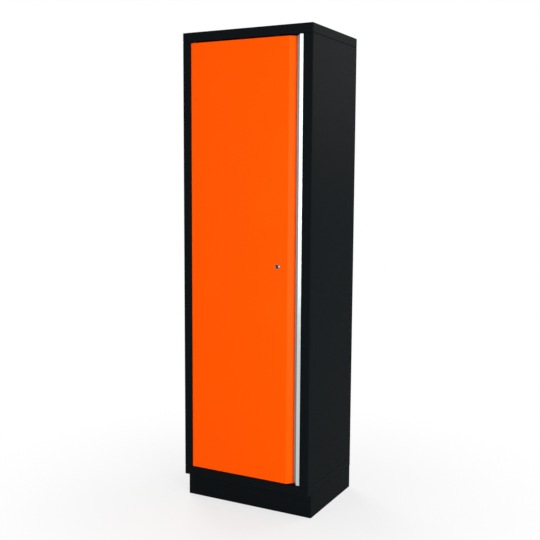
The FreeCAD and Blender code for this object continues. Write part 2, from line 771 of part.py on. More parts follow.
def handle_screws():
    """Screws through the door's rear flange into the pull's web."""
    reach = DOOR_SHEET + HANDLE_WALL - HANDLE_SCREW_SKIN - SCREW_PLAY
    return Part.makeCompound([screw(SCREW_M4, reach, seat, Y_AXIS) for seat in handle_screw_seats()])


# Concealed pivots

def hinge_pin_upper():
    """Pin whose head rests on the cap's front flange and whose end hangs into the door."""
    seat = CAP_BOTTOM + CARCASS_SHEET
    foot = DOOR_TOP - HINGE_PIN_REACH
    shank = cylinder(HINGE_PIN_DIAMETER, Vector(HINGE_X, HINGE_Y, foot), Z_AXIS, seat - foot)
    head = cylinder(HINGE_PIN_HEAD, Vector(HINGE_X, HINGE_Y, seat), Z_AXIS, HINGE_PIN_HEAD_HEIGHT)
    return joined(shank, head)


def hinge_pin_lower():
    """Shouldered pin riveted to the cabinet floor, which carries the door's weight."""
    shoulder = DOOR_GAP_BOTTOM - BUSH_FLANGE
    under = BASE_TOP - CARCASS_SHEET
    tip = DOOR_BOTTOM + HINGE_PIN_REACH
    start = Vector(HINGE_X, HINGE_Y, under)
    shank = cylinder(HINGE_PIN_DIAMETER, start, Z_AXIS, tip - under)
    collar = cylinder(BUSH_FLANGE_DIAMETER, Vector(HINGE_X, HINGE_Y, BASE_TOP), Z_AXIS, shoulder)
    rivet = cylinder(HINGE_PIN_HEAD, start, Z_AXIS * -1, HINGE_PIN_HEAD_HEIGHT)
    return joined(shank, collar, rivet)


def hinge_bushes():
    """Flanged bushes in the door's top and bottom corners."""
    bushes = []
    for edge, outward in ((DOOR_TOP, Z_AXIS), (DOOR_BOTTOM, Z_AXIS * -1)):
        seat = Vector(HINGE_X, HINGE_Y, edge)
        length = DOOR_SHEET + HINGE_BRACKET_SHEET + BUSH_TAIL
        flange = cylinder(BUSH_FLANGE_DIAMETER, seat, outward, BUSH_FLANGE)
        body = cylinder(BUSH_DIAMETER, seat, outward * -1, length)
        bore = cylinder(
            HINGE_PIN_DIAMETER + 2 * HINGE_PLAY,
            seat + outward * (BUSH_FLANGE + BEYOND),
            outward * -1,
            length + BUSH_FLANGE + 2 * BEYOND,
        )
        bushes.append(joined(flange, body).cut(bore))
    return Part.makeCompound(bushes)


def hinge_brackets():
    """Thick plates inside the door's corners that hold the bushes."""
    bend = max(DOOR_BEND - DOOR_SHEET, 0)
    x = (DOOR_LEFT + DOOR_SHEET + bend + HINGE_BRACKET_PLAY, DOOR_LEFT + HINGE_BRACKET_WIDTH)
    y = (DOOR_INNER + bend + HINGE_BRACKET_PLAY, DOOR_REAR - DOOR_SHEET - HINGE_BRACKET_PLAY)
    brackets = []
    for edge, inward in ((DOOR_TOP - DOOR_SHEET, -1), (DOOR_BOTTOM + DOOR_SHEET, 1)):
        z = sorted((edge, edge + inward * HINGE_BRACKET_SHEET))
        start = Vector(HINGE_X, HINGE_Y, z[0] - BEYOND)
        hole = cylinder(BUSH_DIAMETER, start, Z_AXIS, HINGE_BRACKET_SHEET + 2 * BEYOND)
        brackets.append(block(x, y, z).cut(hole))
    return Part.makeCompound(brackets)


# Key lock, cam and rods

def lock_point(depth):
    """Point on the lock's axis at a depth behind the door's face."""
    return Vector(LOCK_X, FRONT + depth, LOCK_HEIGHT)


def lock_housing():
    """Chromed bezel and barrel that stay still while the plug turns."""
    bezel = cylinder(LOCK_BEZEL_DIAMETER, lock_point(0), Y_AXIS * -1, LOCK_BEZEL_HEIGHT)
    front = FRONT - LOCK_BEZEL_HEIGHT
    bezel = rounded(bezel, LOCK_BEZEL_ROUND, lambda edge: abs(middle(edge).y - front) < TINY)
    barrel = cylinder(LOCK_BARREL_DIAMETER, lock_point(0), Y_AXIS, LOCK_BARREL_LENGTH)
    bore = cylinder(
        LOCK_PLUG_DIAMETER + 2 * LOCK_PLAY,
        lock_point(-LOCK_BEZEL_HEIGHT - BEYOND),
        Y_AXIS,
        LOCK_BARREL_LENGTH + LOCK_BEZEL_HEIGHT + 2 * BEYOND,
    )
    return joined(bezel, barrel).cut(bore)


def lock_nut():
    """Hexagon nut that clamps the lock to the door."""
    nut = hexagon(LOCK_NUT_ACROSS, lock_point(DOOR_SHEET), Y_AXIS, LOCK_NUT_HEIGHT)
    hole = cylinder(
        LOCK_BARREL_DIAMETER, lock_point(DOOR_SHEET - BEYOND), Y_AXIS, LOCK_NUT_HEIGHT + 2 * BEYOND
    )
    return nut.cut(hole)


def lock_plug():
    """Turning plug with its keyway, and a square end for the cam."""
    face = -LOCK_BEZEL_HEIGHT + LOCK_PLUG_RECESS
    plug = cylinder(LOCK_PLUG_DIAMETER, lock_point(face), Y_AXIS, LOCK_BARREL_LENGTH - face)
    half = LOCK_SQUARE / 2
    square = block(
        (LOCK_X - half, LOCK_X + half), (CAM_FRONT, CAM_REAR), (LOCK_HEIGHT - half, LOCK_HEIGHT + half)
    )
    keyway = block(
        (LOCK_X - KEYWAY_WIDTH / 2, LOCK_X + KEYWAY_WIDTH / 2),
        (FRONT + face - BEYOND, FRONT + face + KEYWAY_DEPTH),
        (LOCK_HEIGHT - KEYWAY_HEIGHT / 2, LOCK_HEIGHT + KEYWAY_HEIGHT / 2),
    )
    thread = cylinder(
        SCREW_M4[0] + 2 * SCREW_PLAY, Vector(LOCK_X, CAM_REAR + BEYOND, LOCK_HEIGHT), Y_AXIS * -1,
        CAM_SCREW_LENGTH + BEYOND + SCREW_PLAY,
    )
    return joined(plug, square).cut([keyway, thread])


def crank_point(end, depth):
    """Centre of the cam's stud for the upper (+1) or lower (-1) rod at rest, unlocked."""
    return Vector(LOCK_X - end * CRANK_NEAR, depth, LOCK_HEIGHT - end * CRANK_LIFT)


def lock_cam():
    """Two-armed cam on the plug's square end, with a stud for each rod."""
    hub = cylinder(CAM_HUB, Vector(LOCK_X, CAM_FRONT, LOCK_HEIGHT), Y_AXIS, CAM_THICKNESS)
    reach = CRANK_RADIUS
    arm = block((-reach, reach), (0, CAM_THICKNESS), (-CAM_ARM / 2, CAM_ARM / 2))
    arm.Placement = FreeCAD.Placement(
        Vector(LOCK_X, CAM_FRONT, LOCK_HEIGHT), Rotation(Y_AXIS, -math.degrees(HALF_TURN))
    )
    pieces = [arm]
    for end in (1, -1):
        start = crank_point(end, CAM_FRONT)
        length = CAM_THICKNESS + ROD_FOOT_GAP + ROD_FOOT_THICKNESS + CAM_STUD_OVERHANG
        pieces.append(cylinder(CAM_ARM, start, Y_AXIS, CAM_THICKNESS))
        pieces.append(cylinder(CAM_STUD, start, Y_AXIS, length))
    half = LOCK_SQUARE / 2
    square = block(
        (LOCK_X - half, LOCK_X + half),
        (CAM_FRONT - BEYOND, CAM_REAR + BEYOND),
        (LOCK_HEIGHT - half, LOCK_HEIGHT + half),
    )
    return joined(hub, *pieces).cut(square)


def cam_screw():
    """Screw that holds the cam on the plug."""
    return screw(SCREW_M4, CAM_SCREW_LENGTH, Vector(LOCK_X, CAM_REAR, LOCK_HEIGHT), Y_AXIS)


def crank_drift():
    """Most that a stud on its circle leaves a rod that moves evenly with the turn."""
    rate = math.sin(HALF_TURN) / HALF_TURN
    peak = math.acos(rate)
    return CRANK_RADIUS * (math.sin(peak) - rate * peak)


def locking_rod(end):
    """Round rod with a slotted foot on the cam's stud, for the upper (+1) or lower (-1) end."""
    x = rod_place(end)
    foot_z = LOCK_HEIGHT - end * CRANK_LIFT
    slot_half_height = CAM_STUD / 2 + crank_drift() + ROD_SLOT_PLAY
    slot_half_width = (CRANK_RADIUS - CRANK_NEAR) / 2 + CAM_STUD / 2 + ROD_SLOT_PLAY
    half = slot_half_width + ROD_FOOT_WALL
    tall = slot_half_height + ROD_FOOT_WALL
    depth = (ROD_FOOT_FRONT, ROD_FOOT_FRONT + ROD_FOOT_THICKNESS)
    shoulder = foot_z + end * (tall + ROD_DIAMETER)
    foot = block((x - half, x + half), depth, sorted((foot_z - end * tall, shoulder)))
    foot = rounded(
        foot,
        ROD_FOOT_WALL,
        lambda edge: abs(abs(middle(edge).x - x) - half) < TINY and abs(middle(edge).y - ROD_Y) < TINY,
    )
    slot = block(
        (x - slot_half_width, x + slot_half_width),
        (depth[0] - BEYOND, depth[1] + BEYOND),
        (foot_z - slot_half_height, foot_z + slot_half_height),
    )
    tip = DOOR_TOP - ROD_SETBACK if end > 0 else DOOR_BOTTOM + ROD_SETBACK
    neck = shoulder - end * ROD_DIAMETER / 2
    rod = cylinder(ROD_DIAMETER, Vector(x, ROD_Y, neck), Z_AXIS * end, abs(tip - neck))
    rod = rounded(rod, ROD_TIP_ROUND, lambda edge: abs(middle(edge).z - tip) < TINY)
    return joined(foot.cut(slot), rod)


def guide_heights(end):
    """Heights of a rod's two guides: one near the lock and one near the door's edge."""
    edge = DOOR_TOP if end > 0 else DOOR_BOTTOM
    return [LOCK_HEIGHT + end * GUIDE_FROM_LOCK, edge - end * GUIDE_FROM_END]


def rod_guides():
    """Angle brackets welded inside the door, each with a hole that a rod slides in."""
    guides = []
    for end in (1, -1):
        x = rod_place(end)
        across = (x - GUIDE_WIDTH / 2, x + GUIDE_WIDTH / 2)
        for height in guide_heights(end):
            base = block(across, (DOOR_INNER, DOOR_INNER + GUIDE_SHEET), (height, height + GUIDE_BASE))
            rear = ROD_Y + ROD_DIAMETER / 2 + GUIDE_OVERHANG
            plate = block(across, (DOOR_INNER, rear), (height, height + GUIDE_SHEET))
            hole = cylinder(
                ROD_DIAMETER + 2 * GUIDE_PLAY,
                Vector(x, ROD_Y, height - BEYOND),
                Z_AXIS,
                GUIDE_SHEET + 2 * BEYOND,
            )
            guides.append(joined(base, plate).cut(hole))
    return Part.makeCompound(guides)


def rod_keepers():
    """Square flanged sleeves in the cap and the floor that the rods shoot into."""
    keepers = []
    for end, face in ((1, CAP_BOTTOM), (-1, BASE_TOP)):
        rim = face - end * KEEPER_FLANGE
        tail = face + end * KEEPER_LENGTH
        flange = rod_opening(end, KEEPER_OUTSIDE + 2 * KEEPER_RIM, sorted((rim, face)))
        sleeve = rod_opening(end, KEEPER_OUTSIDE - 2 * KEEPER_SEAT_PLAY, sorted((face, tail)))
        bore = rod_opening(end, KEEPER_BORE, sorted((rim - end * BEYOND, tail + end * BEYOND)))
        keepers.append(joined(flange, sleeve).cut(bore))
    return Part.makeCompound(keepers)


# Stops for the closed door

def stop_height():
    """How far a stop stands out of the lock-side flange towards the closed door."""
    return STOP_FACE - DOOR_REAR - STOP_CLEARANCE


def stop_x():
    """Middle of the part of the stop flange that the door covers."""
    return (JAMB - STOP_FLANGE + DOOR_RIGHT) / 2


def door_buffers():
    """Rubber dots that take the door's knock."""
    heights = spread(BUFFER_COUNT, DOOR_BOTTOM + BUFFER_END, DOOR_TOP - BUFFER_END)
    dots = []
    for height in heights:
        seat = Vector(stop_x(), STOP_FACE, height)
        dots.append(cylinder(BUFFER_DIAMETER, seat, Y_AXIS * -1, stop_height()))
    return Part.makeCompound(dots)


def door_magnets():
    """Flat magnets that hold the unlocked door shut."""
    door_middle = (DOOR_BOTTOM + DOOR_TOP) / 2
    x = (stop_x() - MAGNET_WIDTH / 2, stop_x() + MAGNET_WIDTH / 2)
    bars = []
    for height in (door_middle - MAGNET_SPREAD / 2, door_middle + MAGNET_SPREAD / 2):
        z = (height - MAGNET_LENGTH / 2, height + MAGNET_LENGTH / 2)
        bars.append(block(x, (STOP_FACE - stop_height(), STOP_FACE), z))
    return Part.makeCompound(bars)


def pieces():
    """Every node's name and shape."""
    made = {
        "plinth": plinth(),
        "plinth_screws": plinth_screws(),
        "bottom_tray": bottom_tray(),
        "base_screws": base_screws(),
        "side_panel_left": side_panel_left(),
        "side_panel_right": side_panel_right(),
        "back_panel": back_panel(),
        "back_screws": back_screws(),
        "top_cap": top_cap(),
        "cap_screws": cap_screws(),
        "shelf_clips": shelf_clips(),
        "hinge_pin_upper": hinge_pin_upper(),
        "hinge_pin_lower": hinge_pin_lower(),
        "rod_keepers": rod_keepers(),
        "door_buffers": door_buffers(),
        "door_magnets": door_magnets(),
        "door_skin": door_skin(),
        "door_stiffener": door_stiffener(),
        "handle_profile": handle_profile(),
        "handle_screws": handle_screws(),
        "hinge_bushes": hinge_bushes(),
        "hinge_brackets": hinge_brackets(),
        "rod_guides": rod_guides(),
        "lock_housing": lock_housing(),
        "lock_nut": lock_nut(),
        "lock_plug": lock_plug(),
        "lock_cam": lock_cam(),
        "cam_screw": cam_screw(),
        "upper_rod": locking_rod(1),
        "lower_rod": locking_rod(-1),
    }
    for column, side in ((-1, "left"), (1, "right")):
        for row, place in ((-1, "front"), (1, "back")):
            made[f"upright_{place}_{side}"] = upright(column, row)
    for number in range(1, SHELF_COUNT + 1):
        made[f"shelf_{number}"] = shelf(number)
    return made


def main():
    """Write one STEP file for each node."""
    os.makedirs("parts", exist_ok=True)
    for name, shape in pieces().items():
        shape.exportStep(f"parts/{name}.step")


main()
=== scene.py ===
"""Dresses the tall storage cabinet: finishes for its solids, its fine pieces, and a small studio.

Metres, +Z up, the door faces -Y. The origin is on the floor, under the cabinet's middle.
"""

import json
import math

import bmesh
import bpy
from bpy.props import FloatProperty, FloatVectorProperty, IntProperty, PointerProperty
from bpy.types import Operator, Panel, PropertyGroup
from mathutils import Matrix, Vector


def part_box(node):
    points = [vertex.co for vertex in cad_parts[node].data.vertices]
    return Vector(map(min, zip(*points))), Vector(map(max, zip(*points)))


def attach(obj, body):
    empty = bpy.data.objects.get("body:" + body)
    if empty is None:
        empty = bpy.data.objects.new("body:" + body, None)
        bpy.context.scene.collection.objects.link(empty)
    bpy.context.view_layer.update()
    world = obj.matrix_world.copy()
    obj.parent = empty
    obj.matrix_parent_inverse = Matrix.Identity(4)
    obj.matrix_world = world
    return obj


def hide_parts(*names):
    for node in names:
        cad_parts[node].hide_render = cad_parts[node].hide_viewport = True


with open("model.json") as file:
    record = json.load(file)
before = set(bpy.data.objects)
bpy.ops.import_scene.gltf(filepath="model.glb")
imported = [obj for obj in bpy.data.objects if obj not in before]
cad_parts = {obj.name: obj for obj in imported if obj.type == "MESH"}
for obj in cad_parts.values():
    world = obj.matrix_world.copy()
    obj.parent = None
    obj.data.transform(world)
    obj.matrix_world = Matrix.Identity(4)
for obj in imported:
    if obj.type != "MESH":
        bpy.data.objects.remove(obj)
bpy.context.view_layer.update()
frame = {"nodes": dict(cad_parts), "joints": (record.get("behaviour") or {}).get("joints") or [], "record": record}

bl_info = {
    "name": "Tall storage cabinet",
    "version": (1, 0, 0),
    "blender": (4, 5, 0),
    "location": "3D View > Sidebar > Cabinet",
    "description": "Finishes, fine pieces and a studio for the tall storage cabinet",
    "category": "Object",
}

MM = 0.001
ROUND_STEPS = 64
SHARP_ANGLE = math.radians(32)
WHITE = (1.0, 1.0, 1.0, 1.0)

# The lock's axis on the door's face, the uprights, and the sheets that weld marks stand on
LOCK = Vector(next(joint["pos_m"] for joint in frame["joints"] if joint["name"] == "lock_turn"))
UPRIGHTS = ("upright_front_left", "upright_back_left", "upright_front_right", "upright_back_right")
DOOR_SHEET = 1.2 * MM
GUIDE_SHEET = 1.5 * MM

# Where the photograph was taken from
CAMERA_PLACE = Vector((1.7055, -3.2414, 1.4065))
CAMERA_TURN = math.radians(27.75)
CAMERA_TILT = math.radians(6.323)
CAMERA_ROLL = math.radians(0.33)
CAMERA_LENS = 56.134
CAMERA_SENSOR = 36.0

# Softboxes, each named as its power is: place, height that it faces, then its width and height
SOFTBOXES = (
    ("key", (4.25, -3.3, 1.0), 1.0, (2.2, 2.0)),
    ("fill", (-1.4, -3.8, 1.55), 1.55, (1.7, 2.2)),
    ("edge", (2.6, 3.6, 2.9), 1.6, (2.2, 2.2)),
    ("rim", (-3.8, 3.4, 2.8), 1.0, (2.8, 2.8)),
    ("top", (0.4, -0.6, 4.6), 1.0, (2.6, 2.6)),
)


def linear(code):
    """Linear colour of an sRGB hex value."""
    values = [int(code[i : i + 2], 16) / 255 for i in (1, 3, 5)]
    return tuple(v / 12.92 if v <= 0.04045 else ((v + 0.055) / 1.055) ** 2.4 for v in values)


def colour(name, description, code):
    """Colour property with an sRGB hex default."""
    return FloatVectorProperty(
        name=name, description=description, subtype="COLOR", min=0, max=1, default=linear(code)
    )


def length(name, description, millimetres):
    """Length property with a default in millimetres."""
    return FloatProperty(
        name=name,
        description=description,
        unit="LENGTH",
        min=0,
        precision=5,
        default=millimetres * MM,
    )


def power(name, description, watts):
    """Power property of a lamp."""
    return FloatProperty(name=name, description=description, unit="POWER", min=0, default=watts)


class CabinetFinish(PropertyGroup):
    """Colours of the finishes and the sizes of their patterns."""

    black: colour("Black coat", "Powder coat of the carcass and shelves", "#101315")
    orange: colour("Orange coat", "Powder coat of the door", "#FC5200")
    aluminium: colour("Aluminium", "Clear anodised pull", "#C4CDCE")
    # Darker than the lip's aluminium: matt metal, and painted shade of the recess behind the lip
    grip: colour("Grip", "Matt inside of the pull, where fingers go", "#828A8D")
    chrome: colour("Chrome", "Plate on the lock's bezel", "#5E6164")
    zinc: colour("Zinc", "Plate on screws, clips, pins and rods", "#BFC3C7")
    black_zinc: colour("Black zinc", "Plate on the back panel's screws", "#26272A")
    nickel: colour("Dark nickel", "Plate on the lock's plug", "#1C2224")
    nylon: colour("Nylon", "Moulded bushes and keepers", "#1A1B1C")
    rubber: colour("Rubber", "Door buffers", "#121213")
    ferrite: colour("Ferrite", "Door magnets", "#2D2D30")
    peel: length("Coat peel", "Width of the coat's fine bumps, as drawn", 2.4)
    flatness: length("Sheet waves", "Width of the slow waves in flat sheet", 260.0)
    drawn_line: length("Drawn lines", "Width of the die's lines on the pull, as drawn", 1.2)
    spangle: length("Zinc patches", "Width of the plate's patches", 4.0)
    turned_grain: length("Turned grain", "Width of the grain on the lock's plug", 1.0)


class CabinetDetail(PropertyGroup):
    """Sizes of the fine pieces."""

    pull_wall: length("Pull wall", "Wall of the aluminium pull", 2.0)
    pull_lip: length("Pull lip", "Width of the lip that fingers pull on", 16.0)
    pull_crown: length("Lip crown", "Rise of the lip's rounded front", 0.35)
    pull_groove: length("Groove depth", "Depth of the grooves behind the fingers", 0.35)
    pull_pitch: length("Groove pitch", "Spacing of the grooves", 4.0)
    thread_pitch: length("Barrel thread", "Pitch of the thread on the lock's barrel", 1.0)
    washer: length("Washer", "Thickness of the washer under the lock's nut", 0.8)
    clip_sheet: length("Stud clip", "Thickness of the clips on the cam's studs", 0.8)
    weld_spot: length("Spot weld", "Diameter of a spot weld's mark", 6.0)
    weld_spacing: length("Spot spacing", "Distance between spot welds", 115.0)
    bead_leg: length("Bead leg", "Leg of the weld beads along the uprights", 3.0)
    bead_length: length("Bead length", "Length of each weld bead", 26.0)
    bead_count: IntProperty(name="Beads", description="Weld beads on each edge", min=2, default=7)


class CabinetStage(PropertyGroup):
    """Studio round the cabinet."""

    floor_width: FloatProperty(
        name="Floor", description="Width of the square floor", unit="LENGTH", min=2, default=24.0
    )
    floor_colour: colour("Floor colour", "Pale floor", "#DCDCDA")
    floor_clear: FloatProperty(
        name="Shadow reach",
        description="How far the floor shows the shadow",
        unit="LENGTH",
        min=0.5,
        default=1.6,
    )
    ambient: FloatProperty(name="Ambient", description="Light from all round", min=0, default=0.1)
    key: power("Key lamp", "Softbox, front right", 308)
    fill: power("Fill lamp", "Softbox, front left, which the pull's lip mirrors", 22)
    edge: power("Edge lamp", "Softbox behind, on the right", 90)
    rim: power("Rim lamp", "Softbox behind, on the left", 260)
    top: power("Top lamp", "Softbox overhead", 50)


# Finishes


def add(tree, kind, settings=None, inputs=None):
    """Add a node to a tree with its settings, and fill its inputs with values or links."""
    node = tree.nodes.new(kind)
    for name, value in (settings or {}).items():
        setattr(node, name, value)
    for name, value in (inputs or {}).items():
        if isinstance(value, bpy.types.NodeSocket):
            tree.links.new(value, node.inputs[name])
        else:
            node.inputs[name].default_value = value
    return node


def opaque(values, factor=1.0):
    """Colour with alpha, lightened or darkened by a factor."""
    return tuple(min(v * factor, 1.0) for v in values) + (1.0,)


def start(name):
    """New material, its tree, its output and the coordinates of the piece in metres."""
    material = bpy.data.materials.new(name)
    material.use_nodes = True
    tree = material.node_tree
    tree.nodes.clear()
    output = add(tree, "ShaderNodeOutputMaterial")
    place = add(tree, "ShaderNodeTexCoord").outputs["Object"]
    return material, tree, output, place


def surface(tree, output, base, tint, grain, shades, polish, bumps, sockets):
    """Shader whose colour follows one pattern, and whose polish and fine bumps follow another.

    Shades are two factors of the base colour, and polish is a range of roughness. Bumps and sockets
    are further inputs of the bump node and of the shader.
    """
    shade = add(
        tree,
        "ShaderNodeMix",
        {"data_type": "RGBA"},
        {"Factor": tint, 6: opaque(base, shades[0]), 7: opaque(base, shades[1])},
    )
    gloss = add(
        tree,
        "ShaderNodeMapRange",
        None,
        {"Value": grain, "To Min": polish[0], "To Max": polish[1]},
    )
    skin = add(tree, "ShaderNodeBump", None, {"Height": grain, **bumps})
    shader = add(
        tree,
        "ShaderNodeBsdfPrincipled",
        None,
        {
            "Base Color": shade.outputs[2],
            "Roughness": gloss.outputs["Result"],
            "Normal": skin.outputs["Normal"],
            **sockets,
        },
    )
    tree.links.new(shader.outputs["BSDF"], output.inputs["Surface"])


def powder_coat(name, base, roughness, specular, relief):
    """Powder coat, sprayed and baked on folded sheet.

    The eye sees an even colour, a fine peel that breaks up the light close by, and slow waves where
    the flat sheet isn't quite flat. Real peel is about 1 mm wide, and is drawn coarser to show.
    """
    look = bpy.context.scene.cabinet_finish
    peel_share, wave_share = 0.6, 0.4
    shades = (0.9, 1.1)
    polish_spread = 0.08
    wave_relief = 0.35
    height = 0.6 * MM
    material, tree, output, place = start(name)
    peel = add(
        tree,
        "ShaderNodeTexNoise",
        None,
        {"Vector": place, "Scale": 1 / look.peel, "Detail": 3.0},
    ).outputs["Fac"]
    waves = add(
        tree,
        "ShaderNodeTexNoise",
        None,
        {"Vector": place, "Scale": 1 / look.flatness, "Detail": 1.0},
    ).outputs["Fac"]
    slow_tint = add(tree, "ShaderNodeMath", {"operation": "MULTIPLY"}, {0: waves, 1: wave_share})
    tint = add(
        tree,
        "ShaderNodeMath",
        {"operation": "MULTIPLY_ADD"},
        {0: peel, 1: peel_share, 2: slow_tint.outputs[0]},
    )
    slow = add(
        tree, "ShaderNodeBump", None, {"Height": waves, "Strength": wave_relief, "Distance": height}
    )
    surface(
        tree,
        output,
        base,
        tint.outputs[0],
        peel,
        shades,
        (roughness - polish_spread, roughness + polish_spread),
        {"Strength": relief, "Distance": height, "Normal": slow.outputs["Normal"]},
        {"IOR": 1.5, "Specular IOR Level": specular},
    )
    return material


def plated_metal(name, base, roughness, patch, stretch, relief):
    """Bare or plated metal whose polish varies in patches, or in lines where they are stretched.

    Extruding draws fine lines along the bar, zinc dries in cloudy patches, and turning leaves a
    fine grain. All three show as a highlight that breaks up instead of one clean streak.
    """
    look = bpy.context.scene.cabinet_finish
    shades = (0.88, 1.1)
    polish = (roughness * 0.75, roughness * 1.25)
    height = 0.1 * MM
    material, tree, output, place = start(name)
    laid = add(tree, "ShaderNodeMapping", None, {"Vector": place, "Scale": stretch})
    grain = add(
        tree,
        "ShaderNodeTexNoise",
        None,
        {"Vector": laid.outputs["Vector"], "Scale": 1 / getattr(look, patch), "Detail": 2.0},
    ).outputs["Fac"]
    bumps = {"Strength": relief, "Distance": height}
    surface(tree, output, base, grain, grain, shades, polish, bumps, {"Metallic": 1.0})
    return material


def moulded(name, base, roughness, ior, grain_width, relief):
    """Moulded or pressed compound: a dull even skin with a fine grain from the tool."""
    shades = (0.8, 1.2)
    polish_spread = 0.06
    specular = 0.12
    height = 0.1 * MM
    material, tree, output, place = start(name)
    grain = add(
        tree, "ShaderNodeTexNoise", None, {"Vector": place, "Scale": 1 / grain_width, "Detail": 4.0}
    ).outputs["Fac"]
    surface(
        tree,
        output,
        base,
        grain,
        grain,
        shades,
        (roughness - polish_spread, roughness + polish_spread),
        {"Strength": relief, "Distance": height},
        {"IOR": ior, "Specular IOR Level": specular},
    )
    return material


# Patterns that are the same all ways, or drawn out along the pull
EVEN = (1.0, 1.0, 1.0)
LENGTHWISE = (1.0, 1.0, 0.004)

# How each slot of the record is finished, and the inside of the pull: maker, colour and settings.
# The coats' gloss is kept low, because white surroundings would haze them.
FINISHES = {
    # Sheet coated dull black, with a peel that shows only close by
    "black_powder_coat": (
        powder_coat, "black", dict(roughness=0.42, specular=0.004, relief=0.9)
    ),
    # Sheet coated bright orange, smoother than the black
    "orange_powder_coat": (
        powder_coat, "orange", dict(roughness=0.42, specular=0.022, relief=0.35)
    ),
    # Extruded aluminium, clear anodised: satin, with the die's lines down its length
    "anodised_aluminium": (
        plated_metal,
        "aluminium",
        dict(roughness=0.24, patch="drawn_line", stretch=LENGTHWISE, relief=0.25),
    ),
    # The same bar on its inside, left matt, and darker grey as painted shade of the recess behind the lip
    "matt_grip": (
        plated_metal,
        "grip",
        dict(roughness=0.5, patch="drawn_line", stretch=LENGTHWISE, relief=0.4),
    ),
    # Chrome on a polished casting: dark, with one hard highlight
    "chrome": (
        plated_metal, "chrome", dict(roughness=0.16, patch="spangle", stretch=EVEN, relief=0.02)
    ),
    # Zinc on steel: pale and cloudy
    "zinc_plated_steel": (
        plated_metal, "zinc", dict(roughness=0.34, patch="spangle", stretch=EVEN, relief=0.08)
    ),
    # Zinc turned black in its bath: dark and dull
    "blackened_steel": (
        plated_metal, "black_zinc", dict(roughness=0.42, patch="spangle", stretch=EVEN, relief=0.08)
    ),
    # Dark nickel on a turned plug: nearly black, with a fine grain
    "dark_nickel": (
        plated_metal, "nickel", dict(roughness=0.3, patch="turned_grain", stretch=EVEN, relief=0.1)
    ),
    # Nylon, moulded: black, with a soft sheen
    "black_nylon": (
        moulded, "nylon", dict(roughness=0.48, ior=1.53, grain_width=0.8 * MM, relief=0.15)
    ),
    # Rubber, moulded: black and matt
    "black_rubber": (
        moulded, "rubber", dict(roughness=0.8, ior=1.52, grain_width=0.6 * MM, relief=0.3)
    ),
    # Ferrite, pressed and fired: charcoal grey and stony
    "ferrite_magnet": (
        moulded, "ferrite", dict(roughness=0.62, ior=1.55, grain_width=0.5 * MM, relief=0.3)
    ),
}


def finish(slot):
    """Material of a slot of the record, or of the inside of the pull, made once."""
    name = f"finish_{slot}"
    if name in bpy.data.materials:
        return bpy.data.materials[name]
    make, base, settings = FINISHES[slot]
    return make(name, getattr(bpy.context.scene.cabinet_finish, base), **settings)


# Mesh building


def arc(centre, radius, first, last, steps):
    """Points on an arc of a plane, from one angle to another in degrees."""
    angles = [math.radians(first + (last - first) * i / steps) for i in range(steps + 1)]
    return [(centre[0] + radius * math.cos(a), centre[1] + radius * math.sin(a)) for a in angles]


def bridge(bm, one, two):
    """Join two closed loops of as many points with a ring of faces."""
    for i in range(len(one)):
        bm.faces.new((one[i - 1], one[i], two[i], two[i - 1]))


def bar(bm, outline, along):
    """Close a flat outline into a bar that runs along a vector, and give its long faces."""
    near = [bm.verts.new(point) for point in outline]
    far = [bm.verts.new(point + along) for point in outline]
    bm.faces.new(near)
    bm.faces.new(far[::-1])
    return [bm.faces.new((near[i], far[i], far[i - 1], near[i - 1])) for i in range(len(near))]


def spin(bm, profile, centre, steps=ROUND_STEPS):
    """Turn a profile of (radius, depth) points about the Y axis through a centre.

    A radius may be a function of the angle. A profile that starts and ends on the axis is closed by
    its poles, and any other closes on itself as a ring.
    """
    capped = profile[0][0] == 0 and profile[-1][0] == 0
    poles = {}
    for i, (radius, depth) in enumerate(profile):
        if radius == 0:
            poles[i] = bm.verts.new(centre + Vector((0, depth, 0)))
    columns = []
    for step in range(steps):
        angle = math.tau * step / steps
        column = []
        for i, (radius, depth) in enumerate(profile):
            if i in poles:
                column.append(poles[i])
                continue
            reach = radius(angle) if callable(radius) else radius
            spot = Vector((reach * math.cos(angle), depth, reach * math.sin(angle)))
            column.append(bm.verts.new(centre + spot))
        columns.append(column)
    for this, other in zip(columns, columns[1:] + columns[:1]):
        for i in range(len(profile) - 1 if capped else len(profile)):
            j = (i + 1) % len(profile)
            corners = list(dict.fromkeys((this[i], this[j], other[j], other[i])))
            if len(corners) > 2:
                bm.faces.new(corners)


def settle(name, bm, body, slot, *nodes):
    """Make a mesh a piece that rides on a body, has a slot's finish and may replace CAD nodes."""
    bmesh.ops.recalc_face_normals(bm, faces=bm.faces)
    mesh = bpy.data.meshes.new(name)
    bm.to_mesh(mesh)
    bm.free()
    mesh.shade_smooth()
    mesh.set_sharp_from_angle(angle=SHARP_ANGLE)
    mesh.materials.append(finish(slot))
    made = bpy.data.objects.new(name, mesh)
    bpy.context.scene.collection.objects.link(made)
    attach(made, body)
    if nodes:
        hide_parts(*nodes)
    return made


# Operators


class CABINET_OT_solids(Operator):
    """Give every solid of the frame the finish of its slot"""

    bl_idname = "cabinet.solids"
    bl_label = "Finish the solids"

    def execute(self, context):
        for entry in frame["record"]["subparts"]:
            for holder in frame["nodes"][entry["node"]].material_slots:
                holder.link = "OBJECT"
                holder.material = finish(entry["material_slot"])
        return {"FINISHED"}


